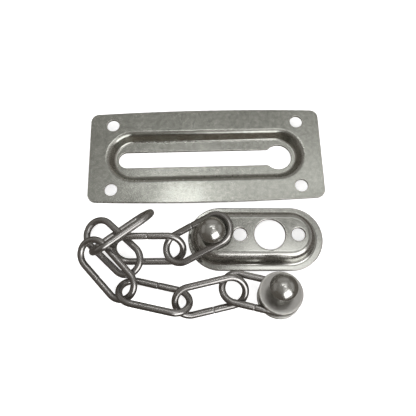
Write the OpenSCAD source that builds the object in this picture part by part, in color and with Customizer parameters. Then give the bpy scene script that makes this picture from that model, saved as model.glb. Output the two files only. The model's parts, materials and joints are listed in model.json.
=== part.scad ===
// Door chain guard: a keyhole plate for the door, an anchor plate for the frame, and an
// eight-link chain that runs from the anchor plate's stud to a double-disc knob.
//
// The set lies loose on a flat surface, as it does before fitting. The origin is on the back
// of the anchor plate, below the middle of its raised top. +X runs along both plates, +Y runs
// from the anchor plate to the keyhole plate and +Z is up. The anchor plate lies the way it
// is screwed on. The keyhole plate lies face down, on the raised face of its channel.

/* [Sheet metal] */
// Thickness of the sheet that both plates are pressed from
sheet_t = 1.2; // [1:0.1:1.5]
// Diameter of the screw holes
screw_hole_d = 5.4; // [4:0.1:6]

/* [Keyhole plate] */
// Length of the plate
key_len = 100; // [98:1:120]
// Width of the plate at its ends
key_end_w = 41; // [40:0.5:50]
// How far each long edge bows out at mid-length
key_bow = 1; // [0.5:0.1:2]
// Radius of the plate's corners
key_corner_r = 3.5; // [2:0.5:5]
// Depth of the pressed channel
key_depth = 4; // [3.5:0.1:5]
// Slope of the channel's walls
key_wall_angle = 60; // [50:1:75]
// Inner radius of the channel's bends
key_bend_r = 1.2; // [0.8:0.1:1.3]
// Length of the channel, at half its depth
key_channel_len = 82.2; // [80:0.1:84]
// Width of the channel, at half its depth
key_channel_w = 20; // [19:0.1:21]
// Distance between the screw holes along the plate
key_hole_dx = 80.5; // [79:0.5:84]
// Distance between the screw holes across the plate
key_hole_dy = 30; // [30:0.5:32]
// Width of the slot that the knob's neck runs in
slot_w = 7.4; // [6.5:0.1:8]
// Distance from the plate's middle to the closed end of the slot
slot_end_x = 38; // [34:0.5:38]
// Distance from the plate's middle to the centre of the entry hole
entry_x = 31.8; // [28:0.1:32]
// Diameter of the entry hole
entry_d = 11.6; // [11.4:0.1:12.4]
// Where the middle of the plate lies, and the height it rests at
key_at = [-20, 36.2, 0];
// Turn of the plate on the table
key_turn = 1.4; // [0:0.1:2]

/* [Anchor plate] */
// Length of the flange
anchor_len = 56; // [55:0.5:60]
// Width of the flange
anchor_w = 26.8; // [26:0.1:30]
// Height that the middle is raised by
anchor_depth = 7; // [6:0.1:7.5]
// Slope of the raised middle's walls
anchor_wall_angle = 80; // [70:1:82]
// Inner radius of the raised middle's bends
anchor_bend_r = 1.6; // [0.8:0.1:1.8]
// Length of the raised middle, at half its height
boss_len = 47.8; // [46:0.1:49]
// Width of the raised middle, at half its height
boss_w = 18.6; // [18:0.1:20]
// Shift of the flange away from the stud's end
flange_shift = 0.8; // [0:0.1:1]
// Distance of the stud and of the outer screw hole from the raised middle's centre
outer_hole_x = 17.5; // [17:0.1:18]
// Distance of the inner screw hole and of the parking hole from the same centre
inner_hole_x = 6; // [5.5:0.1:6.5]
// Diameter of the parking hole, which takes the knob's head
parking_d = 12.5; // [11.8:0.1:13]

/* [Rivet heads] */
// Diameter of the domed heads on the stud and the knob
dome_d = 10.8; // [9:0.1:11.2]
// Height of the domed heads
dome_h = 3.7; // [3:0.1:3.9]
// Diameter of the necks under the heads
neck_d = 6; // [5:0.1:6.4]
// Diameter of the knob's shank between its discs
shank_d = 5.4; // [4.8:0.1:5.6]
// Diameter of the tenons that are peened over
tenon_d = 4.4; // [3.6:0.1:4.6]
// Free height under the stud's head, where the first link turns
stud_gap = 6.5; // [5.2:0.1:7.5]
// Free height between the knob's head and its upper disc
neck_h = 6.2; // [2:0.1:7]

/* [Knob] */
// Diameter of the two discs
disc_d = 17.5; // [16:0.1:18]
// Thickness of each disc
disc_t = 1.5; // [1:0.1:1.6]
// Gap between the discs, which holds the last link
disc_gap = 3.8; // [3.6:0.1:4.2]
// Edge chamfer of the discs
disc_edge = 0.3; // [0.1:0.05:0.4]
// Where the bottom of the lower disc's centre lies
knob_at = [9.2, -24.5, 1.6];
// How far the knob leans away from +Z, towards +Y
knob_lean = 10; // [9:0.5:10]
// How far the knob leans towards +X
knob_tip = 2; // [1:0.5:3]

/* [Chain] */
// Diameter of the wire
wire_d = 2.8; // [2.5:0.1:2.8]
// Outer length of a link
link_len = 31; // [30.5:0.1:31]
// Outer width of a link
link_w = 14.8; // [14.6:0.1:14.9]
// Gap left where the ends of the wire meet
seam_gap = 0.25; // [0.1:0.05:0.5]
// Resting place of each link: centre, then heading, slope and roll in degrees
link_poses = [
    [[-23, -2, 8.8], 25, 16, -4],
    [[-43, -5.5, 5.8], 0, 1, 45],
    [[-57.5, -4.5, 4.9], -43, 8, 16],
    [[-53.5, 1, 8.3], 40, -10, -64],
    [[-59, -14, 6.6], -47, -1, 25],
    [[-40, -24.5, 5.2], -12, -2, -35],
    [[-18, -24.5, 5.4], 13, 3, 33],
    [[0.5, -23, 5.2], -13, 0, -8],
];
// Which long side of each link has the seam: 1 for its left side, -1 for its right
link_seams = [1, 1, -1, 1, -1, 1, -1, -1];

/* [Hidden] */
$fn = 64;
steel = [0.72, 0.72, 0.74];
dark_steel = [0.45, 0.45, 0.48];
cut_play = 1;                             // how far a cutter reaches past a face
flat_lap = 0.2;                           // how far a section's flats reach past its bends
arc_steps = 6;                            // flats that make up a bend or a plate's corner
bow_step = 1 / 8;                         // length of the flats along a bowed edge
link_r = (link_w - wire_d) / 2;           // radius of the wire's line round a link's end
link_side = link_len - link_w;            // length of a link's straight side
dome_land = 0.4;                          // straight edge below a dome
tail_h = 0.9;                             // height of a peened tail
tail_d = tenon_d + 3;                     // widest diameter of a peened tail
boss_top = anchor_depth + sheet_t;        // upper face of the anchor plate's raised middle
upper_disc_z = disc_t + disc_gap;         // lower face of the knob's upper disc

// Radius of a bend's middle surface
function mid_r(bend_r) = bend_r + sheet_t / 2;
// Horizontal distance from the middle of a sloping wall to the start of the flat next to it
function wall_reach(depth, angle, bend_r) =
    mid_r(bend_r) * sin(angle) + wall_run(depth, angle, bend_r) / 2 * cos(angle);
// Length of the straight part of a sloping wall
function wall_run(depth, angle, bend_r) =
    (depth - 2 * mid_r(bend_r) * (1 - cos(angle))) / sin(angle);

// Outline with round ends, as long and as wide as given
module obround(length, width) {
    side = length - width;
    square([side, width], center = true);
    for (end = [-1, 1]) translate([end * side / 2, 0]) circle(d = width);
}

// Points of an arc between two angles
function arc_points(centre, radius, from, to) = [
    for (i = [0:arc_steps])
        let (angle = from + (to - from) * i / arc_steps)
            centre + radius * [cos(angle), sin(angle)]
];

// Section of a pressed wall, from the flange up to the raised face. The wall's middle is at
// x = 0, the flange is on its +X side, and both flats reach a little past their bends.
module wall_section(depth, angle, bend_r) {
    reach = wall_reach(depth, angle, bend_r);
    outer_r = bend_r + sheet_t;
    low_bend = [reach, outer_r];
    high_bend = [-reach, depth - bend_r];
    polygon(concat(
        [[reach + flat_lap, 0]],
        arc_points(low_bend, outer_r, -90, -90 - angle),
        arc_points(high_bend, bend_r, 90 - angle, 90),
        [[-reach - flat_lap, depth], [-reach - flat_lap, depth + sheet_t]],
        arc_points(high_bend, outer_r, 90, 90 - angle),
        arc_points(low_bend, bend_r, -90 - angle, -90),
        [[reach + flat_lap, sheet_t]]
    ));
}

// Sheet with a raised obround face. Its flange follows the outline given as a child.
module pressed_sheet(length, width, depth, angle, bend_r) {
    side = length - width;
    span = 2 * wall_reach(depth, angle, bend_r) + flat_lap;
    linear_extrude(sheet_t) difference() {
        children();
        obround(length + span, width + span);
    }
    translate([0, 0, depth]) linear_extrude(sheet_t) obround(length - span, width - span);
    for (turn = [0, 180]) rotate(turn) {
        translate([side / 2, 0, 0]) rotate(-90) rotate_extrude(angle = 180)
            translate([width / 2, 0]) wall_section(depth, angle, bend_r);
        translate([-side / 2, 0, 0]) rotate([90, 0, 90]) linear_extrude(side)
            translate([width / 2, 0]) wall_section(depth, angle, bend_r);
    }
}

// Outline of the keyhole plate: a rounded rectangle whose long edges bow out
module keyhole_outline() {
    corner_x = key_len / 2 - key_corner_r;
    corner_y = key_end_w / 2 - key_corner_r;
    half = concat(
        arc_points([corner_x, corner_y], key_corner_r, 0, 90),
        [for (u = [1 - bow_step:-bow_step:bow_step - 1])
            [u * corner_x, key_end_w / 2 + key_bow * (1 - u * u)]],
        arc_points([-corner_x, corner_y], key_corner_r, 90, 180)
    );
    polygon(concat(half, [for (point = half) -point]));
}

// Round entry hole that narrows to a straight slot with a round end
module keyhole() {
    end_x = slot_w / 2 - slot_end_x;
    translate([entry_x, 0]) circle(d = entry_d);
    translate([end_x, 0]) circle(d = slot_w);
    translate([end_x, -slot_w / 2]) square([entry_x - end_x, slot_w]);
}

// Domed head with a short straight edge, its flat side on z = 0
module dome() {
    cap_h = dome_h - dome_land;
    cap_r = (pow(dome_d / 2, 2) + pow(cap_h, 2)) / (2 * cap_h);
    intersection() {
        cylinder(h = dome_h, d = dome_d);
        translate([0, 0, dome_h - cap_r]) sphere(r = cap_r);
    }
}

// Peened end of a tenon, hanging below z = 0
module peened_tail() {
    translate([0, 0, -tail_h]) cylinder(h = tail_h, d1 = tenon_d, d2 = tail_d);
}

// Disc of the knob with chamfered edges and a hole for the shank
module knob_disc(hole_d) {
    rotate_extrude() polygon([
        [hole_d / 2, 0],
        [disc_d / 2 - disc_edge, 0],
        [disc_d / 2, disc_edge],
        [disc_d / 2, disc_t - disc_edge],
        [disc_d / 2 - disc_edge, disc_t],
        [hole_d / 2, disc_t],
    ]);
}

// Places its children where the knob lies: on the lower disc's rim, leaning over
module in_knob_place() {
    translate(knob_at) rotate([-knob_lean, knob_tip, 0]) children();
}

// One link: a round wire bent into an oval, with its ends meeting in a long side
module link(number) {
    pose = link_poses[number - 1];
    seam_y = link_seams[number - 1] * link_r;
    color(dark_steel) translate(pose[0]) rotate([pose[3], -pose[2], pose[1]]) {
        for (end = [0, 180]) rotate(end) translate([link_side / 2, 0, 0]) rotate(-90)
            rotate_extrude(angle = 180) translate([link_r, 0]) circle(d = wire_d);
        difference() {
            for (y = [-link_r, link_r]) translate([-link_side / 2, y, 0])
                rotate([0, 90, 0]) cylinder(h = link_side, d = wire_d);
            translate([0, seam_y, 0]) cube([seam_gap, 2 * wire_d, 2 * wire_d], center = true);
        }
    }
}

module keyhole_plate() {
    color(steel) translate(key_at) rotate(key_turn)
        translate([0, 0, key_depth + sheet_t]) rotate([180, 0, 0]) difference() {
            pressed_sheet(key_channel_len, key_channel_w, key_depth, key_wall_angle, key_bend_r)
                keyhole_outline();
            translate([0, 0, -cut_play]) linear_extrude(key_depth + 2 * cut_play + sheet_t) {
                keyhole();
                for (x = [-1, 1], y = [-1, 1])
                    translate([x * key_hole_dx / 2, y * key_hole_dy / 2])
                        circle(d = screw_hole_d);
            }
        }
}

module anchor_plate() {
    color(steel) difference() {
        pressed_sheet(boss_len, boss_w, anchor_depth, anchor_wall_angle, anchor_bend_r)
            translate([flange_shift, 0]) obround(anchor_len, anchor_w);
        translate([0, 0, anchor_depth - cut_play]) linear_extrude(sheet_t + 2 * cut_play) {
            translate([-outer_hole_x, 0]) circle(d = tenon_d);
            translate([-inner_hole_x, 0]) circle(d = screw_hole_d);
            translate([inner_hole_x, 0]) circle(d = parking_d);
            translate([outer_hole_x, 0]) circle(d = screw_hole_d);
        }
    }
}

module anchor_stud() {
    color(steel) translate([-outer_hole_x, 0, 0]) {
        translate([0, 0, boss_top + stud_gap]) dome();
        translate([0, 0, boss_top]) cylinder(h = stud_gap, d = neck_d);
        translate([0, 0, anchor_depth]) cylinder(h = sheet_t, d = tenon_d);
        translate([0, 0, anchor_depth]) peened_tail();
    }
}

module knob_rivet() {
    color(steel) in_knob_place() {
        translate([0, 0, upper_disc_z + disc_t + neck_h]) dome();
        translate([0, 0, upper_disc_z + disc_t]) cylinder(h = neck_h, d = neck_d);
        translate([0, 0, disc_t]) cylinder(h = upper_disc_z, d = shank_d);
        cylinder(h = disc_t, d = tenon_d);
        peened_tail();
    }
}

module knob_upper_disc() {
    color(steel) in_knob_place() translate([0, 0, upper_disc_z]) knob_disc(shank_d);
}

module knob_lower_disc() {
    color(steel) in_knob_place() knob_disc(tenon_d);
}

keyhole_plate();
anchor_plate();
anchor_stud();
for (i = [1:8]) link(i);
knob_rivet();
knob_upper_disc();
knob_lower_disc();
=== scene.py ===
"""Door chain guard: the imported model's looks, with a camera and lights to match the photograph."""
import json
import math

import bpy
import bmesh
from mathutils import Matrix, Vector, noise
from mathutils.geometry import delaunay_2d_cdt


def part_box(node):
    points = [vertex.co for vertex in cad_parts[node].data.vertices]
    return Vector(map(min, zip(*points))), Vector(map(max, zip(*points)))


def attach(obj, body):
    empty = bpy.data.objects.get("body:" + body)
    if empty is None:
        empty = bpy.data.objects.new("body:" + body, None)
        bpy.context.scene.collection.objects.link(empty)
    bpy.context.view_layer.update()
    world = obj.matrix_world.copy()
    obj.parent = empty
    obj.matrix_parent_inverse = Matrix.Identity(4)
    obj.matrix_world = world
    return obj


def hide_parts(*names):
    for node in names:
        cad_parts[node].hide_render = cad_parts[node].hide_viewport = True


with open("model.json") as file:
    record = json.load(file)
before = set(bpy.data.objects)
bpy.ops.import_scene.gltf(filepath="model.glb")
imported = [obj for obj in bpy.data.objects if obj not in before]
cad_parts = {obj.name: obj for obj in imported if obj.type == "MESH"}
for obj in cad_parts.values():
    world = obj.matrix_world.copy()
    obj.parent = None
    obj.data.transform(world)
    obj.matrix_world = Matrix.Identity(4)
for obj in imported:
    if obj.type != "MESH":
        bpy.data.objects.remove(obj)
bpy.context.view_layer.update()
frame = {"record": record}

MM = 0.001
SAME_POINT = 0.0005 * MM         # points closer than this are joined
NO_LENGTH = 0.0002 * MM          # edges shorter than this are removed
SIDE_SHARE = 0.45                # most of a side that the rounding of one corner may use
scene = bpy.context.scene


# ---------------------------------------------------------------- small helpers

def turned(rx, ry, rz):
    """Rotation about X, then Y, then Z, in degrees."""
    out = Matrix.Identity(4)
    for angle, axis in ((rx, "X"), (ry, "Y"), (rz, "Z")):
        out = Matrix.Rotation(math.radians(angle), 4, axis) @ out
    return out


def placed(x, y, z, rx=0.0, ry=0.0, rz=0.0):
    """Turn, then move. Lengths in millimetres."""
    return Matrix.Translation((x, y, z)) @ turned(rx, ry, rz)


def middle(node):
    """The middle of a CAD node's box, in millimetres."""
    low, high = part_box(node)
    return (low + high) / 2 / MM


def top(node):
    """The height of a CAD node's highest point, in millimetres."""
    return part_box(node)[1].z / MM


def arc(centre, radius, start, end, steps):
    """Points on an arc, both ends included. Angles in degrees."""
    out = []
    for i in range(steps + 1):
        a = math.radians(start + (end - start) * i / steps)
        out.append((centre[0] + radius * math.cos(a), centre[1] + radius * math.sin(a)))
    return out


def softened(points, sizes, steps, closed=False):
    """A polyline with its corners rounded. sizes has a length for each point; 0 leaves it sharp."""
    count = len(points)
    out = []
    for i, point in enumerate(points):
        if (not closed and i in (0, count - 1)) or sizes[i] <= 0:
            out.append(point)
            continue
        p = Vector(point)
        back = Vector(points[i - 1]) - p
        ahead = Vector(points[(i + 1) % count]) - p
        reach = min(sizes[i], SIDE_SHARE * back.length, SIDE_SHARE * ahead.length)
        a = p + back.normalized() * reach
        b = p + ahead.normalized() * reach
        for k in range(steps + 1):
            t = k / steps
            out.append(tuple(a * (1 - t) ** 2 + p * (2 * t * (1 - t)) + b * t ** 2))
    return out


def add_piece(name, mesh_data, matrix, body, node, material):
    """A mesh in millimetres, put in place, riding a body and standing for a CAD node.

    mesh_data is points, faces and, for some pieces, a number per point that paints light into the
    colour: above 0 is a painted highlight, with some wear, below 0 is painted shade.
    """
    verts, faces = mesh_data[:2]
    mesh = bpy.data.meshes.new(name)
    mesh.from_pydata([(matrix @ Vector(v)) * MM for v in verts], [], faces)
    if len(mesh_data) > 2:
        mesh.attributes.new("wear_and_light", "FLOAT", "POINT").data.foreach_set("value", mesh_data[2])
    work = bmesh.new()
    work.from_mesh(mesh)
    bmesh.ops.remove_doubles(work, verts=work.verts, dist=SAME_POINT)
    bmesh.ops.dissolve_degenerate(work, edges=work.edges, dist=NO_LENGTH)
    bmesh.ops.recalc_face_normals(work, faces=work.faces)
    for face in work.faces:
        face.smooth = True
    work.to_mesh(mesh)
    work.free()
    mesh.materials.append(material)
    obj = bpy.data.objects.new(name, mesh)
    scene.collection.objects.link(obj)
    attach(obj, body)
    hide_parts(node)
    return obj


# ---------------------------------------------------------------- lathed pieces

ON_AXIS = 1e-6


def lathed(profile, steps=80, closed=False, sheen_from=None):
    """A profile of (radius, height) turned about Z, with a painted highlight on points past a given
    radius.
    """
    verts, rows = [], []
    for r, z in profile:
        if r < ON_AXIS:
            rows.append([len(verts)])
            verts.append((0, 0, z))
            continue
        row = []
        for i in range(steps):
            a = 2 * math.pi * i / steps
            row.append(len(verts))
            verts.append((r * math.cos(a), r * math.sin(a), z))
        rows.append(row)
    if closed:
        rows.append(rows[0])
    faces = []
    for low, high in zip(rows, rows[1:]):
        for i in range(steps):
            j = (i + 1) % steps
            if len(low) == 1:
                faces.append((low[0], high[j], high[i]))
            elif len(high) == 1:
                faces.append((low[i], low[j], high[0]))
            else:
                faces.append((low[i], low[j], high[j], high[i]))
    if sheen_from:
        return verts, faces, [1.0 if math.hypot(v[0], v[1]) > sheen_from else 0.0 for v in verts]
    return verts, faces


# The domed head that the stud and the knob share, and what is below it.
DOME_R = 5.4
DOME_H = 3.7
DOME_LAND = 0.4          # straight edge below the dome
NECK_R = 3.0
TENON_R = 2.2
TAIL_R = 3.6             # the peened end of the tenon
TAIL_H = 0.5
TAIL_EDGE_IN, TAIL_EDGE_DOWN = 0.3, 0.38         # its hammered edge
TAIL_CROWN = 0.02        # how far its middle stands below that
HEAD_EDGE = 0.22         # roundings: the head's lower edge, the head to the neck, the steps
NECK_FILLET = 0.3
SHANK_EDGE = 0.12


def cap_arc(base_z, steps=22):
    """The curve of a domed head from its tip to its straight edge, as (radius, height) points."""
    cap = DOME_H - DOME_LAND
    ball = (DOME_R ** 2 + cap ** 2) / (2 * cap)
    centre = base_z + DOME_H - ball
    edge = math.degrees(math.asin(DOME_R / ball))
    return [(max(ball * math.sin(math.radians(edge * i / steps)), 0.0),
             centre + ball * math.cos(math.radians(edge * i / steps)))
            for i in range(steps + 1)]


def rivet_profile(base_z, steps_down):
    """A domed head on a stepped shank. steps_down has the (radius, height) corners below the head."""
    head = cap_arc(base_z)
    corners = [head[-1], (DOME_R, base_z), (NECK_R, base_z)] + steps_down
    roundings = [0, HEAD_EDGE, NECK_FILLET] + [SHANK_EDGE] * (len(steps_down) - 1) + [0]
    return head[:-1] + softened(corners, roundings, 5)


# ---------------------------------------------------------------- pressed sheet

SHEET = 1.2
LIP_TOP = 0.34           # rounding of cut edges on the face side
LIP_UNDER = 0.14         # and on the back
HOLE_STEPS = 44
EDGE_SHEEN_AND_WEAR = 0.8           # painted highlight, with some wear, on the cut edges
BEND_SHEEN_AND_WEAR = (1.0, 0.5)   # and on the upper and the lower bend
SUPPORT = 0.25           # distance from a rounding to the next row of points
BEND_STEPS = 10
GRID = 1.7               # spacing of the points inside flat regions
GRID_ROW = 0.87          # spacing of their rows, as a share of it
GRID_CLEAR = 0.6         # and their least distance from an edge
CDT_NEAR = 1e-7
# Unevenness of the sheet: share, scale along X, scale along Y, seed.
UNEVEN_SHEET = [(1.0, 0.055, 0.075, 3.1), (0.4, 0.16, 0.2, 7.7)]


def obround(half, cx=0.0, ends=30, sides=24):
    """Base points and directions round an obround, so that point = base + direction * radius."""
    out = []
    for end, start in ((half, -90), (-half, 90)):
        for i in range(ends):
            a = math.radians(start + 180 * i / ends)
            out.append((Vector((cx + end, 0)), Vector((math.cos(a), math.sin(a)))))
        for i in range(sides):
            x = end - 2 * end * i / sides
            out.append((Vector((cx + x, 0)), Vector((0, 1 if end > 0 else -1))))
    return out


def circle_loop(cx, cy, radius, count=HOLE_STEPS):
    """A round hole's edge: points, each with the way into the metal."""
    out = []
    for i in range(count):
        a = 2 * math.pi * i / count
        way = Vector((math.cos(a), math.sin(a)))
        out.append((Vector((cx, cy)) + way * radius, way))
    return out


def loop_with_normals(points, outward):
    """A closed run of points, counterclockwise, each with the way into the metal."""
    out = []
    count = len(points)
    for i in range(count):
        a, p, b = Vector(points[i - 1]), Vector(points[i]), Vector(points[(i + 1) % count])
        along = ((p - a).normalized() + (b - p).normalized()).normalized()
        way = Vector((along.y, -along.x))
        out.append((p, way if outward else -way))
    return out


def evenly(points, spacing):
    """Points added along the long sides of a closed run."""
    out = []
    for i, point in enumerate(points):
        a, b = Vector(point), Vector(points[(i + 1) % len(points)])
        parts = max(1, round((b - a).length / spacing))
        out += [tuple(a.lerp(b, k / parts)) for k in range(parts)]
    return out


def inside(point, loop):
    """Is a point inside a closed run of points?"""
    x, y = point
    hit = False
    px, py = loop[-1]
    for qx, qy in loop:
        if (py > y) != (qy > y) and x < (qx - px) * (y - py) / (qy - py) + px:
            hit = not hit
        px, py = qx, qy
    return hit


def in_region(point, loops):
    """Is a point inside the first loop and outside the others?"""
    return inside(point, loops[0]) and not any(inside(point, hole) for hole in loops[1:])


def far_from(point, loops, gap):
    """Is a point further than gap from every point of the loops?"""
    x, y = point
    return all((x - qx) ** 2 + (y - qy) ** 2 > gap * gap for loop in loops for qx, qy in loop)


def filled(outer, holes, z):
    """Triangles over a flat region, with inner points so that it can carry a slight unevenness."""
    loops = [[tuple(p) for p in loop] for loop in [outer] + holes]
    points, edges = [], []
    for loop in loops:
        first = len(points)
        points += loop
        edges += [(first + i, first + (i + 1) % len(loop)) for i in range(len(loop))]
    xs = [p[0] for p in loops[0]]
    ys = [p[1] for p in loops[0]]
    row = 0
    y = min(ys) + GRID / 2
    while y < max(ys):
        x = min(xs) + (GRID if row % 2 else GRID / 2)
        while x < max(xs):
            if in_region((x, y), loops) and far_from((x, y), loops, GRID_CLEAR * GRID):
                points.append((x, y))
            x += GRID
        y += GRID * GRID_ROW
        row += 1
    flat, _, triangles = delaunay_2d_cdt([Vector(p) for p in points], edges, [], 0, CDT_NEAR)[:3]
    kept = [tuple(corners) for corners in triangles
            if in_region(sum((flat[i] for i in corners), Vector((0, 0))) / 3, loops)]
    return [(v.x, v.y, z) for v in flat], kept


def cut_edge():
    """Section of a cut edge, from face to back, as (distance into the metal, height) points."""
    edge = [(LIP_TOP + SUPPORT, SHEET)]
    for k in range(5):
        a = math.radians(22.5 * k)
        edge.append((LIP_TOP * (1 - math.sin(a)), SHEET - LIP_TOP * (1 - math.cos(a))))
    for k in range(4):
        a = math.radians(30 * k)
        edge.append((LIP_UNDER * (1 - math.cos(a)), LIP_UNDER * (1 - math.sin(a))))
    return edge + [(LIP_UNDER + SUPPORT, 0.0)]


def pressed(half, width, depth, angle, bend, outline, face_holes, flange_holes,
            wave, side_light_and_shade, end_light):
    """A pressed plate: a flange, a wall with round bends, and a raised face, all of one sheet.

    The raised part is an obround: half is half the distance between the centres of its ends, width
    is measured at the middle of its wall, depth is its height, angle the wall's slope in degrees
    and bend the inner radius of its bends. outline, face_holes and flange_holes are loops. wave is
    how uneven the sheet is. The last two numbers paint light into the wall's colour on its -Y side
    and at its two ends: above 0 is a painted highlight, below 0 painted shade.
    """
    mid = bend + SHEET / 2       # bend radius of the sheet's middle layer
    run = (depth - 2 * mid * (1 - math.cos(math.radians(angle)))) / math.sin(math.radians(angle))
    reach = mid * math.sin(math.radians(angle)) + run / 2 * math.cos(math.radians(angle))
    flat_in, flat_out = width / 2 - reach, width / 2 + reach
    bend_turns = [i / BEND_STEPS for i in range(BEND_STEPS + 1)]
    section = []
    for turn in bend_turns:
        a = math.radians(90 - angle * turn)
        section.append(((flat_in, depth - bend), mid, Vector((math.cos(a), math.sin(a)))))
    for turn in bend_turns:
        a = math.radians(-90 - angle + angle * turn)
        section.append(((flat_out, bend + SHEET), -mid, -Vector((math.cos(a), math.sin(a)))))
    # How much painted highlight, with some wear, each row of the wall gets at its bends, and how far
    # it takes the light and shade painted on its side.
    on_bends = [share * math.sin(math.pi * turn) for share in BEND_SHEEN_AND_WEAR for turn in bend_turns]
    on_wall = [turn ** 2 for turn in bend_turns] + [(1 - turn) ** 2 for turn in bend_turns]
    row_light = list(zip([0.0] + on_bends + [0.0], [0.0] + on_wall + [0.0]))
    base = obround(half)
    # Painted light and shade for each point round the wall: by its -Y side and by its two ends.
    wall_light_and_shade = [side_light_and_shade * max(0.0, -way.y) ** 2 + end_light * way.x ** 2 for _, way in base]
    verts, faces, wear_and_light_marks = [], [], []

    def add(new_verts, new_faces, new_marks=None):
        first = len(verts)
        verts.extend(new_verts)
        faces.extend(tuple(first + i for i in face) for face in new_faces)
        wear_and_light_marks.extend(new_marks or [0.0] * len(new_verts))

    def strip(rings, new_marks):
        size = len(rings[0])
        quads = []
        for k in range(0, (len(rings) - 1) * size, size):
            for i in range(size):
                j = (i + 1) % size
                quads.append((k + i, k + j, k + size + j, k + size + i))
        add([v for ring in rings for v in ring], quads, new_marks)

    def shrunk(loop, lip):
        return [p + way * (lip + SUPPORT) for p, way in loop]

    for side, lip in ((1, LIP_TOP), (-1, LIP_UNDER)):
        offset = side * SHEET / 2
        inner = [b + d * (flat_in - SUPPORT) for b, d in base]
        outer = [b + d * (flat_out + SUPPORT) for b, d in base]
        z_in, z_out = depth + SHEET / 2 + offset, SHEET / 2 + offset
        rings = [[(*p, z_in) for p in inner]]
        for centre, bend_r, way in section:
            r = centre[0] + way.x * (bend_r + offset)
            z = centre[1] + way.y * (bend_r + offset)
            rings.append([(*(b + d * r), z) for b, d in base])
        rings.append([(*p, z_out) for p in outer])
        strip(rings, [wear_and_light + share * wall_tone for wear_and_light, share in row_light for wall_tone in wall_light_and_shade])
        add(*filled(inner, [shrunk(hole, lip) for hole in face_holes], z_in))
        flange_gaps = [shrunk(hole, lip) for hole in flange_holes] + [outer]
        add(*filled(shrunk(outline, lip), flange_gaps, z_out))
    edge = cut_edge()
    # The cut edges get a painted highlight, with some wear.
    edge_marks = [0.0] + [EDGE_SHEEN_AND_WEAR] * (len(edge) - 2) + [0.0]
    for loops, bottom in ((face_holes, depth), ([outline] + flange_holes, 0.0)):
        for loop in loops:
            strip([[(*(p + way * e), bottom + z) for p, way in loop] for e, z in edge],
                  [wear_and_light for wear_and_light in edge_marks for _ in loop])
    uneven = []
    for x, y, z in verts:
        rise = sum(share * noise.noise(Vector((x * scale_x, y * scale_y, seed)))
                   for share, scale_x, scale_y, seed in UNEVEN_SHEET)
        uneven.append((x, y, min(max(z + wave * rise, 0.0), depth + SHEET)))
    return uneven, faces, wear_and_light_marks


# ---------------------------------------------------------------- wire links

WIRE_R = 1.4
LINK_R = 6.0             # radius of the wire's line round a link's end
LINK_HALF = 8.1          # half of a link's straight side
LINK_BEND = math.pi * LINK_R                     # length of that line
LINK_BEND_STEPS, LINK_SIDE_STEPS = 30, 8
SEAM = 0.12              # gap between the wire's two ends
NEAR_SEAM = [0.0, 0.02, 0.06, 0.12, 0.22, 0.4, 0.8, 1.6, 3.0]
SEAM_SIDE_STOP = 0.7     # one more row of points, as a share of the half side
CUT_TAPER, CUT_TAPER_LENGTH = 0.16, 0.22         # the rounded edge of a cut end
SQUEEZE, SQUEEZE_LENGTH = 0.05, 1.1              # the wire is flattened where it was cut
MISMATCH, MISMATCH_LENGTH = 0.09, 3.0            # how far one end is out of line with the other
UNEVEN_WIRE, UNEVEN_SCALE = 0.012, 0.35          # unevenness of the wire's radius
BEND_THIN = 0.012                                # share by which the wire is thinner in the bends
END_RING = 0.8                                   # size of the inner ring on a cut end


def wire_line(s):
    """A point of a link's middle line at length s from the seam, and the way outward there."""
    if s <= LINK_HALF:
        return Vector((s, LINK_R, 0)), Vector((0, 1, 0))
    s -= LINK_HALF
    if s <= LINK_BEND:
        way = Vector((math.sin(s / LINK_R), math.cos(s / LINK_R), 0))
        return Vector((LINK_HALF, 0, 0)) + way * LINK_R, way
    s -= LINK_BEND
    if s <= 2 * LINK_HALF:
        return Vector((LINK_HALF - s, -LINK_R, 0)), Vector((0, -1, 0))
    s -= 2 * LINK_HALF
    if s <= LINK_BEND:
        way = Vector((-math.sin(s / LINK_R), -math.cos(s / LINK_R), 0))
        return Vector((-LINK_HALF, 0, 0)) + way * LINK_R, way
    return Vector((s - LINK_BEND - LINK_HALF, LINK_R, 0)), Vector((0, 1, 0))


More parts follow.
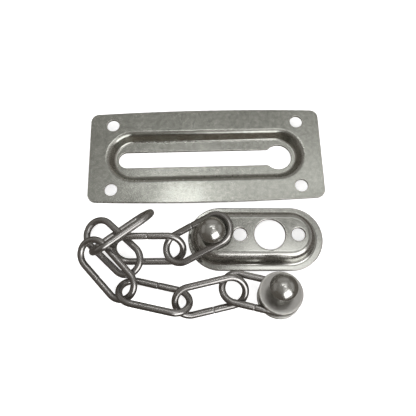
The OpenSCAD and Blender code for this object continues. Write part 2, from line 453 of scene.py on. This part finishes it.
def link_mesh(seam_side, seed, around=28):
    """An oval of round wire. It starts and ends at the seam in one long side."""
    total = 4 * LINK_HALF + 2 * LINK_BEND
    first = SEAM / 2
    round_bend = [LINK_BEND * i / LINK_BEND_STEPS for i in range(LINK_BEND_STEPS + 1)]
    along_side = [2 * LINK_HALF * i / LINK_SIDE_STEPS for i in range(1, LINK_SIDE_STEPS)]
    stops = [first + n for n in NEAR_SEAM] + [LINK_HALF * SEAM_SIDE_STOP]
    stops += [LINK_HALF + n for n in round_bend]
    stops += [LINK_HALF + LINK_BEND + n for n in along_side]
    stops += [3 * LINK_HALF + LINK_BEND + n for n in round_bend]
    stops += [total - LINK_HALF * SEAM_SIDE_STOP] + [total - first - n for n in reversed(NEAR_SEAM)]
    verts, rows = [], []
    for s in stops:
        point, way = wire_line(s)
        end = min(s, total - s) - first
        taper = CUT_TAPER * max(0.0, 1 - end / CUT_TAPER_LENGTH) ** 2
        squeeze = SQUEEZE * math.exp(-(end / SQUEEZE_LENGTH) ** 2)
        lift = MISMATCH * max(0.0, 1 - (total - s) / MISMATCH_LENGTH) * (1 if seed % 2 else -1)
        thin = BEND_THIN if abs(point.x) > LINK_HALF else 0.0
        row = []
        for i in range(around):
            a = 2 * math.pi * i / around
            c, h = math.cos(a), math.sin(a)
            r = WIRE_R - taper - squeeze * abs(h)
            r += UNEVEN_WIRE * noise.noise(point * UNEVEN_SCALE + Vector((c, h, seed * 5.0)))
            out = point + way * (c * r * (1 - thin)) + Vector((0, 0, h * r + lift))
            row.append(len(verts))
            verts.append(tuple(out))
        rows.append(row)
    faces = [(low[i], low[(i + 1) % around], high[(i + 1) % around], high[i])
             for low, high in zip(rows, rows[1:]) for i in range(around)]
    for row in (rows[0], rows[-1]):
        inner = []
        centre = sum((Vector(verts[v]) for v in row), Vector()) / around
        for v in row:
            inner.append(len(verts))
            verts.append(tuple(centre.lerp(Vector(verts[v]), END_RING)))
        hub = len(verts)
        verts.append(tuple(centre))
        for i in range(around):
            j = (i + 1) % around
            faces.append((row[i], row[j], inner[j], inner[i]))
            faces.append((inner[i], inner[j], hub))
    if seam_side < 0:
        verts = [(-x, -y, z) for x, y, z in verts]
    return verts, faces


# ---------------------------------------------------------------- metal

# Scales of the noise, in patches per metre. Its value lies mostly between 0.3 and 0.7.
BROAD, MOTTLE, PITS = 60.0, 620.0, 1500.0
SHADE_PATCHES, SHEEN_PATCHES = 260.0, 420.0
# Brown painted shade, laid on the far wall of the keyhole plate's channel.
PAINTED_SHADE = (0.22, 0.175, 0.14)
SHADE_SHARE = 0.8        # how far the painted shade covers the metal at most
WORN_ROUGHER = 0.12      # what full wear adds to the roughness
MICROMETRE = 0.000001


def metal(name, dark, light, rough, grain, blotch, relief,
          brush=None, origin=None, rings=0.0, sheen_and_wear_colour=None):
    """Plated steel: mottled colour, uneven gloss, pits, fine grain, and brush lines or turned rings.

    dark and light are the two colours of the mottling, and rough the two ends of the roughness.
    grain is the scale of the fine grain. blotch is the share of small patches against broad ones.
    relief is the height of the pits, of the grain, and of the lines or rings, in micrometres. brush
    is the scale of the brush lines along X and across it. origin is the place and the turn of a
    turned piece, and rings the scale of its rings. The last colour is painted where the piece's
    numbers per point are above 0: a painted highlight, with some wear on plate edges. Where they are
    below 0, a brown painted shade is laid on.
    """
    mat = bpy.data.materials.new(name)
    mat.use_nodes = True
    nodes, links = mat.node_tree.nodes, mat.node_tree.links
    nodes.clear()

    def math_node(operation, a, b):
        new = nodes.new("ShaderNodeMath")
        new.operation = operation
        for socket, value in ((new.inputs[0], a), (new.inputs[1], b)):
            if isinstance(value, (int, float)):
                socket.default_value = value
            else:
                links.new(value, socket)
        return new.outputs[0]

    def times(a, b):
        return math_node("MULTIPLY", a, b)

    def plus(a, b):
        return math_node("ADD", a, b)

    def ranged(value, low, high, out_low, out_high):
        new = nodes.new("ShaderNodeMapRange")
        for socket, number in zip(new.inputs[1:5], (low, high, out_low, out_high)):
            socket.default_value = number
        links.new(value, new.inputs[0])
        return new.outputs[0]

    def noise_of(vector, scale, detail, roughness=0.55):
        new = nodes.new("ShaderNodeTexNoise")
        for socket, number in (("Scale", scale), ("Detail", detail), ("Roughness", roughness)):
            new.inputs[socket].default_value = number
        links.new(vector, new.inputs["Vector"])
        return new.outputs["Fac"]

    def mixed(under, over, share):
        new = nodes.new("ShaderNodeMix")
        new.data_type = "RGBA"
        if isinstance(under, tuple):
            new.inputs["A"].default_value = (*under, 1)
        else:
            links.new(under, new.inputs["A"])
        new.inputs["B"].default_value = (*over, 1)
        links.new(share, new.inputs["Factor"])
        return new.outputs["Result"]

    place = nodes.new("ShaderNodeTexCoord").outputs["Object"]
    if origin is not None:
        local = nodes.new("ShaderNodeMapping")
        local.vector_type = "TEXTURE"
        local.inputs["Location"].default_value = [v * MM for v in origin[0]]
        local.inputs["Rotation"].default_value = [math.radians(v) for v in origin[1]]
        links.new(place, local.inputs["Vector"])
        place = local.outputs[0]

    broad = noise_of(place, BROAD, 2.0)
    mottle = noise_of(place, MOTTLE, 5.0, 0.65)
    pits = noise_of(place, PITS, 1.5, 0.5)
    fine = noise_of(place, grain, 2.0)
    pit_height, grain_height, line_height = relief
    tone = plus(times(mottle, blotch), times(broad, 1 - blotch))
    colour = mixed(dark, light, ranged(tone, 0.33, 0.67, 0.0, 1.0))
    height = plus(times(fine, grain_height), times(pits, pit_height))
    gloss = plus(times(mottle, 0.6), times(broad, 0.4))

    if brush:
        along, across = brush
        stretch = nodes.new("ShaderNodeMapping")
        stretch.inputs["Scale"].default_value = (along, across, across)
        links.new(place, stretch.inputs["Vector"])
        lines = noise_of(stretch.outputs[0], 1.0, 3.0, 0.6)
        height = plus(height, times(lines, line_height))
        gloss = plus(times(gloss, 0.65), times(lines, 0.35))
    if rings:
        parts = nodes.new("ShaderNodeSeparateXYZ")
        links.new(place, parts.inputs[0])
        x, y, z = parts.outputs
        from_axis = nodes.new("ShaderNodeCombineXYZ")
        links.new(math_node("POWER", plus(times(x, x), times(y, y)), 0.5), from_axis.inputs[0])
        links.new(z, from_axis.inputs[1])
        tracks = noise_of(from_axis.outputs[0], rings, 2.0, 0.6)
        height = plus(height, times(tracks, line_height))
        gloss = plus(times(gloss, 0.7), times(tracks, 0.3))
    roughness = ranged(gloss, 0.3, 0.7, *rough)

    if sheen_and_wear_colour:
        wear_and_light = nodes.new("ShaderNodeAttribute")
        wear_and_light.attribute_name = "wear_and_light"
        wear_and_light = wear_and_light.outputs["Fac"]
        # Painted shade where the numbers are below 0, painted highlight, with some wear, where above
        # 0.
        shade_patches = ranged(noise_of(place, SHADE_PATCHES, 4.0), 0.3, 0.6, 0.5, 1.0)
        shaded = times(ranged(wear_and_light, 0.0, -1.0, 0.0, SHADE_SHARE), shade_patches)
        sheen_patches = ranged(noise_of(place, SHEEN_PATCHES, 3.0), 0.35, 0.6, 0.6, 1.0)
        sheen_and_wear = times(ranged(wear_and_light, 0.0, 1.0, 0.0, 1.0), sheen_patches)
        colour = mixed(mixed(colour, PAINTED_SHADE, shaded), sheen_and_wear_colour, sheen_and_wear)
        roughness = plus(roughness, times(sheen_and_wear, WORN_ROUGHER))

    bump = nodes.new("ShaderNodeBump")
    bump.inputs["Strength"].default_value = 1.0
    bump.inputs["Distance"].default_value = MICROMETRE
    links.new(height, bump.inputs["Height"])
    shader = nodes.new("ShaderNodeBsdfPrincipled")
    shader.inputs["Metallic"].default_value = 1.0
    links.new(colour, shader.inputs["Base Color"])
    links.new(roughness, shader.inputs["Roughness"])
    links.new(bump.outputs[0], shader.inputs["Normal"])
    out = nodes.new("ShaderNodeOutputMaterial")
    links.new(shader.outputs[0], out.inputs["Surface"])
    return mat


joints = {joint["name"]: joint for joint in frame["record"]["behaviour"]["joints"]}
KNOB_AT = tuple(v / MM for v in joints["knob_spin"]["pos_m"])
KNOB_TURN = (-10, 2, 0)          # how the knob leans
STUD_AT = (middle("anchor_stud").x, middle("anchor_stud").y, 0)

# The last colour of each metal is painted where its pieces' numbers are above 0: a painted highlight,
# with some wear on the plates' edges and bends.
plate_metal = metal(
    "plate_nickel", dark=(0.36, 0.37, 0.335), light=(0.57, 0.58, 0.535), rough=(0.14, 0.26),
    grain=3200.0, blotch=0.65, relief=(5.2, 0.3, 1.0), brush=(160.0, 2600.0),
    sheen_and_wear_colour=(0.62, 0.61, 0.57))
anchor_metal = metal(
    "anchor_nickel", dark=(0.40, 0.405, 0.375), light=(0.55, 0.555, 0.52), rough=(0.12, 0.20),
    grain=3000.0, blotch=0.5, relief=(1.5, 0.2, 0.4), brush=(200.0, 2400.0),
    sheen_and_wear_colour=(0.68, 0.67, 0.64))
stud_metal = metal(
    "stud_polished", dark=(0.62, 0.62, 0.595), light=(0.78, 0.78, 0.75), rough=(0.16, 0.24),
    grain=2600.0, blotch=0.4, relief=(0.4, 0.08, 0.2), origin=(STUD_AT, (0, 0, 0)), rings=2600.0)
knob_metal = metal(
    "knob_polished", dark=(0.60, 0.60, 0.575), light=(0.76, 0.76, 0.73), rough=(0.19, 0.27),
    grain=2600.0, blotch=0.4, relief=(0.4, 0.08, 0.2), origin=(KNOB_AT, KNOB_TURN), rings=2600.0)
# The discs' rims get a painted highlight in the last colour.
disc_metal = metal(
    "disc_satin", dark=(0.44, 0.43, 0.41), light=(0.57, 0.56, 0.54), rough=(0.27, 0.35),
    grain=3400.0, blotch=0.5, relief=(0.3, 0.05, 0.2), origin=(KNOB_AT, KNOB_TURN), rings=3400.0,
    sheen_and_wear_colour=(0.86, 0.85, 0.82))
wire_metal = metal(
    "wire_nickel", dark=(0.42, 0.41, 0.40), light=(0.58, 0.565, 0.555), rough=(0.22, 0.25),
    grain=2400.0, blotch=0.2, relief=(0.0, 0.0, 0.0))

# ---------------------------------------------------------------- keyhole plate

SCREW_HOLE_R = 2.7
KEY_HEADING = 1.4                # how the plate lies, in degrees
KEY_CORNER = (46.5, 17.0)        # centre of a corner's rounding
KEY_CORNER_R = 3.5
KEY_BOW = 1.0                    # how far the long sides bow out in their middle
KEY_SCREWS = [(x, y) for x in (-40.25, 40.25) for y in (-15, 15)]
ENTRY_X, ENTRY_R = 31.8, 5.8
SLOT_X, SLOT_R = -34.3, 3.7
SLOT_CORNER = 1.3                # rounding where the slot meets the entry hole
OUTLINE_STEP, SLOT_STEP = 1.9, 0.7       # spacing of the points along the two edges

key_middle = middle("keyhole_plate")
face_down = placed(0, 0, top("keyhole_plate"), 180, 0, 0)
KEY_AT = placed(key_middle.x, key_middle.y, 0, 0, 0, KEY_HEADING) @ face_down
corner_x, corner_y = KEY_CORNER
half_outline = arc(KEY_CORNER, KEY_CORNER_R, 0, 90, 8)
for u in [1 - i / 24 for i in range(1, 48)]:
    half_outline.append((corner_x * u, corner_y + KEY_CORNER_R + KEY_BOW * (1 - u * u)))
half_outline += arc((-corner_x, corner_y), KEY_CORNER_R, 90, 180, 8)
key_outline = evenly(half_outline + [(-x, -y) for x, y in half_outline], OUTLINE_STEP)

corner_angle = math.degrees(math.asin(SLOT_R / ENTRY_R))
entry_arc = arc((ENTRY_X, 0), ENTRY_R, corner_angle - 180, 180 - corner_angle, 16)
slot_arc = arc((SLOT_X, 0), SLOT_R, 90, 270, 24)
roundings = [SLOT_CORNER] + [0] * (len(entry_arc) - 2) + [SLOT_CORNER] + [0] * len(slot_arc)
slot_edge = evenly(softened(entry_arc + slot_arc, roundings, 6, True), SLOT_STEP)
# The channel's far wall gets painted shade and its two ends a painted highlight.
keyhole_mesh = pressed(
    half=31.1, width=20.0, depth=4.0, angle=60, bend=1.2,
    outline=loop_with_normals(key_outline, False), face_holes=[loop_with_normals(slot_edge, True)],
    flange_holes=[circle_loop(x, y, SCREW_HOLE_R) for x, y in KEY_SCREWS],
    wave=0.06, side_light_and_shade=-1.0, end_light=0.9)
add_piece("keyhole_plate_pressed", keyhole_mesh, KEY_AT,
          "keyhole_plate", "keyhole_plate", plate_metal)

# ---------------------------------------------------------------- anchor plate and stud

ANCHOR_R = 13.4
PARKING_R = 6.25
STUD_X = -17.5

anchor_outline = [tuple(b + d * ANCHOR_R) for b, d in obround(14.6, 0.8, 44, 22)]
# The raised part's near wall and its two ends get a painted highlight.
anchor_mesh = pressed(
    half=14.6, width=18.6, depth=7.0, angle=80, bend=1.6,
    outline=loop_with_normals(anchor_outline, False),
    face_holes=[circle_loop(STUD_X, 0, TENON_R, 32), circle_loop(-6, 0, SCREW_HOLE_R),
                circle_loop(6, 0, PARKING_R, 72), circle_loop(17.5, 0, SCREW_HOLE_R)],
    flange_holes=[], wave=0.04, side_light_and_shade=0.9, end_light=0.9)
add_piece("anchor_plate_pressed", anchor_mesh, Matrix.Identity(4),
          "anchor", "anchor_plate", anchor_metal)


def tail(z):
    """The corners of a tenon's peened tail, under a sheet whose back is at height z."""
    low = z - TAIL_H - TAIL_EDGE_DOWN
    return [(TENON_R, z), (TAIL_R, z - TAIL_H), (TAIL_R - TAIL_EDGE_IN, low), (0, low - TAIL_CROWN)]


STUD_FOOT = 8.2                  # top of the anchor plate
foot = [(NECK_R, STUD_FOOT), (TENON_R, STUD_FOOT)]
stud = rivet_profile(top("anchor_stud") - DOME_H, foot + tail(STUD_FOOT - SHEET))
add_piece("anchor_stud_turned", lathed(stud), placed(*STUD_AT),
          "anchor", "anchor_stud", stud_metal)

# ---------------------------------------------------------------- knob

# Heights on the knob's own axis, from the lower disc's underside.
DISC_R = 8.75
DISC_H = 1.5
UPPER_DISC_Z = 5.3
HEAD_Z = 13.0
SHANK_R = 2.7
DISC_FACE_R = 7.7                # where a disc's flat face ends
DISC_EDGE = 0.42                 # rounding of its edge
DISC_HOLE_EDGE = 0.08            # and of its hole's edges
DISC_SHEEN_R = 8.2                   # it gets a painted highlight outside this radius

IN_KNOB = placed(*KNOB_AT, *KNOB_TURN)
upper_top = UPPER_DISC_Z + DISC_H
shank = [(NECK_R, upper_top), (SHANK_R, upper_top), (SHANK_R, DISC_H), (TENON_R, DISC_H)]
rivet = rivet_profile(HEAD_Z, shank + tail(0.0))
add_piece("knob_rivet_turned", lathed(rivet), IN_KNOB, "knob", "knob_rivet", knob_metal)


def disc_profile(bottom, hole_r):
    """A disc's section, with a rounded edge and slightly rounded edges at its hole."""
    corners = [(r, bottom) for r in (hole_r, DISC_FACE_R, DISC_R)]
    corners += [(r, bottom + DISC_H) for r in (DISC_R, DISC_FACE_R, hole_r)]
    roundings = [DISC_HOLE_EDGE, 0, DISC_EDGE, DISC_EDGE, 0, DISC_HOLE_EDGE]
    return softened(corners, roundings, 6, True)


DISCS = [("knob_upper_disc", UPPER_DISC_Z, SHANK_R), ("knob_lower_disc", 0.0, TENON_R)]
for name, bottom, hole_r in DISCS:
    disc = lathed(disc_profile(bottom, hole_r), 96, True, sheen_from=DISC_SHEEN_R)
    add_piece(name + "_turned", disc, IN_KNOB, "knob", name, disc_metal)

# ---------------------------------------------------------------- chain

# How each link lies: heading, slope and roll in degrees, and the side its seam is on.
LINKS = [
    (25, 16, -4, 1),
    (0, 1, 45, 1),
    (-43, 8, 16, -1),
    (40, -10, -64, 1),
    (-47, -1, 25, -1),
    (-12, -2, -35, 1),
    (13, 3, 33, -1),
    (-13, 0, -8, -1),
]
for number, (heading, slope, roll, seam_side) in enumerate(LINKS, 1):
    name = "link_%d" % number
    lies = placed(*middle(name), roll, -slope, heading)
    add_piece(name + "_wire", link_mesh(seam_side, number), lies, name, name, wire_metal)

# ---------------------------------------------------------------- floor, light and camera

PAPER = (0.86, 0.86, 0.86, 1)
PAPER_GLOW = 0.72
FLOOR_HALF = 3.0
FLOOR_DROP = 0.00005             # the floor lies this far below the pieces
BACKDROP_HALF = 2.9
BACKDROP_LOW, BACKDROP_HIGH = -0.01, 7.0


def square(half, z):
    """The four corners of a level square."""
    return [(-half, -half, z), (half, -half, z), (half, half, z), (-half, half, z)]


floor_mesh = bpy.data.meshes.new("floor")
floor_mesh.from_pydata(square(FLOOR_HALF, 0), [], [(0, 1, 2, 3)])
floor = bpy.data.objects.new("floor", floor_mesh)
floor.location.z = -FLOOR_DROP
scene.collection.objects.link(floor)
floor_mat = bpy.data.materials.new("floor_paper")
floor_mat.use_nodes = True
floor_shader = floor_mat.node_tree.nodes["Principled BSDF"]
floor_shader.inputs["Base Color"].default_value = PAPER
floor_shader.inputs["Roughness"].default_value = 0.95
floor_shader.inputs["Specular IOR Level"].default_value = 0.1
floor_shader.inputs["Emission Color"].default_value = (1, 1, 1, 1)
floor_shader.inputs["Emission Strength"].default_value = PAPER_GLOW
floor_mesh.materials.append(floor_mat)
floor.visible_glossy = False

# A pale backdrop that only the camera sees.
backdrop_mesh = bpy.data.meshes.new("backdrop")
backdrop_points = square(BACKDROP_HALF, BACKDROP_LOW) + square(BACKDROP_HALF, BACKDROP_HIGH)
backdrop_mesh.from_pydata(backdrop_points, [],
                          [(i, (i + 1) % 4, (i + 1) % 4 + 4, i + 4) for i in range(4)])
backdrop = bpy.data.objects.new("backdrop", backdrop_mesh)
scene.collection.objects.link(backdrop)
backdrop_mesh.materials.append(floor_mat)
for rays in ("diffuse", "glossy", "transmission", "shadow"):
    setattr(backdrop, "visible_" + rays, False)


def panel(name, at, size, radiance, target=(-0.02, 0.01, 0), gloss=True):
    """A soft rectangular light, in metres. It faces the target, or straight down if there is none.

    The metal sees it as a surface of this radiance, or not at all if gloss is False.
    """
    light = bpy.data.lights.new(name, "AREA")
    light.shape = "RECTANGLE"
    light.size, light.size_y = size
    light.energy = radiance * math.pi * size[0] * size[1]
    obj = bpy.data.objects.new(name, light)
    obj.location = at
    if target:
        obj.rotation_euler = (Vector(target) - Vector(at)).to_track_quat("-Z", "Y").to_euler()
    obj.visible_glossy = gloss
    scene.collection.objects.link(obj)


# What the metal reflects: a ceiling of tiles, a tall panel in front, and dim walls.
CEILING_Z = 0.60
CEILING = [
    # from x, to x, from y, to y, radiance
    (-0.260, -0.120, 0.20, 0.265, 0.40),
    (-0.120, -0.085, 0.20, 0.265, 1.25),
    (-0.085, -0.030, 0.186, 0.240, 5.10),
    (-0.030, 0.010, 0.20, 0.265, 1.12),
    (0.010, 0.220, 0.222, 0.265, 1.20),
    (-0.170, 0.100, 0.265, 0.30, 0.38),
    (-0.170, 0.100, 0.30, 0.34, 0.32),
    (0.100, 0.270, 0.265, 0.34, 0.66),
    (-0.260, 0.300, 0.34, 0.56, 0.10),
    (-0.020, 0.240, 0.15, 0.215, 0.12),
    (0.030, 0.130, 0.03, 0.140, 1.90),
    (0.130, 0.240, 0.03, 0.145, 1.10),
]
for number, (x0, x1, y0, y1, radiance) in enumerate(CEILING, 1):
    tile_middle = ((x0 + x1) / 2, (y0 + y1) / 2, CEILING_Z)
    panel("ceiling_%d" % number, tile_middle, (x1 - x0, y1 - y0), radiance, None)
panel("overhead_front", (0.20, -0.20, 0.62), (0.40, 0.38), 0.36)
panel("front", (0.34, -0.51, 0.45), (0.68, 0.58), 2.2)
panel("wall_back", (0.0, 1.2, 0.45), (1.6, 0.7), 0.12)
panel("wall_left", (-1.0, 0.2, 0.45), (1.0, 0.5), 0.15)
panel("wall_right", (1.0, 0.2, 0.45), (1.0, 0.5), 0.15)

# What lights the paper only.
panel("paper_left", (-0.6, -0.4, 0.9), (0.7, 0.7), 3.4, gloss=False)
panel("paper_right", (0.6, 0.5, 0.9), (0.7, 0.7), 3.4, gloss=False)

# A dim brown room. Its colour goes from ROOM_DARK towards ROOM_LIGHT above and below, and a little
# to the left and right, and then towards SKY in the direction of SKY_WAY.
ROOM_DARK = (0.098, 0.086, 0.074, 1)
ROOM_LIGHT = (0.23, 0.22, 0.20, 1)
ROOM_WEIGHTS = (0.30, 0.0, 0.70)
SKY = (0.285, 0.275, 0.26, 1)
SKY_WAY = (0.22, 0.30, 0.90)
SKY_FROM, SKY_TO = 0.28, 0.88

world = bpy.data.worlds.new("studio")
world.use_nodes = True
world_nodes, world_links = world.node_tree.nodes, world.node_tree.links
look = world_nodes.new("ShaderNodeTexCoord").outputs["Generated"]
weigh = world_nodes.new("ShaderNodeVectorMath")
weigh.operation = "MULTIPLY"
weigh.inputs[1].default_value = ROOM_WEIGHTS
world_links.new(look, weigh.inputs[0])
room_share = world_nodes.new("ShaderNodeVectorMath")
room_share.operation = "DOT_PRODUCT"
world_links.new(weigh.outputs["Vector"], room_share.inputs[0])
world_links.new(weigh.outputs["Vector"], room_share.inputs[1])
room = world_nodes.new("ShaderNodeMix")
room.data_type = "RGBA"
room.inputs["A"].default_value = ROOM_DARK
room.inputs["B"].default_value = ROOM_LIGHT
world_links.new(room_share.outputs["Value"], room.inputs["Factor"])
toward_sky = world_nodes.new("ShaderNodeVectorMath")
toward_sky.operation = "DOT_PRODUCT"
toward_sky.inputs[1].default_value = SKY_WAY
world_links.new(look, toward_sky.inputs[0])
sky_share = world_nodes.new("ShaderNodeMapRange")
sky_share.inputs["From Min"].default_value = SKY_FROM
sky_share.inputs["From Max"].default_value = SKY_TO
world_links.new(toward_sky.outputs["Value"], sky_share.inputs["Value"])
sky = world_nodes.new("ShaderNodeMix")
sky.data_type = "RGBA"
sky.inputs["B"].default_value = SKY
world_links.new(room.outputs["Result"], sky.inputs["A"])
world_links.new(sky_share.outputs["Result"], sky.inputs["Factor"])
world_links.new(sky.outputs["Result"], world_nodes["Background"].inputs["Color"])
scene.world = world
scene.view_settings.view_transform = "Standard"

# A camera fitted to the photograph.
CAMERA_AT = (-0.01892, -0.05111, 0.19823)
CAMERA_TILT = 18.12              # degrees away from straight down
camera = bpy.data.cameras.new("camera")
camera.sensor_width = 36.0
camera.lens = 42.3
camera.clip_start = 0.01
camera_object = bpy.data.objects.new("camera", camera)
camera_object.location = CAMERA_AT
camera_object.rotation_euler = (math.radians(CAMERA_TILT), 0, 0)
scene.collection.objects.link(camera_object)
scene.camera = camera_object
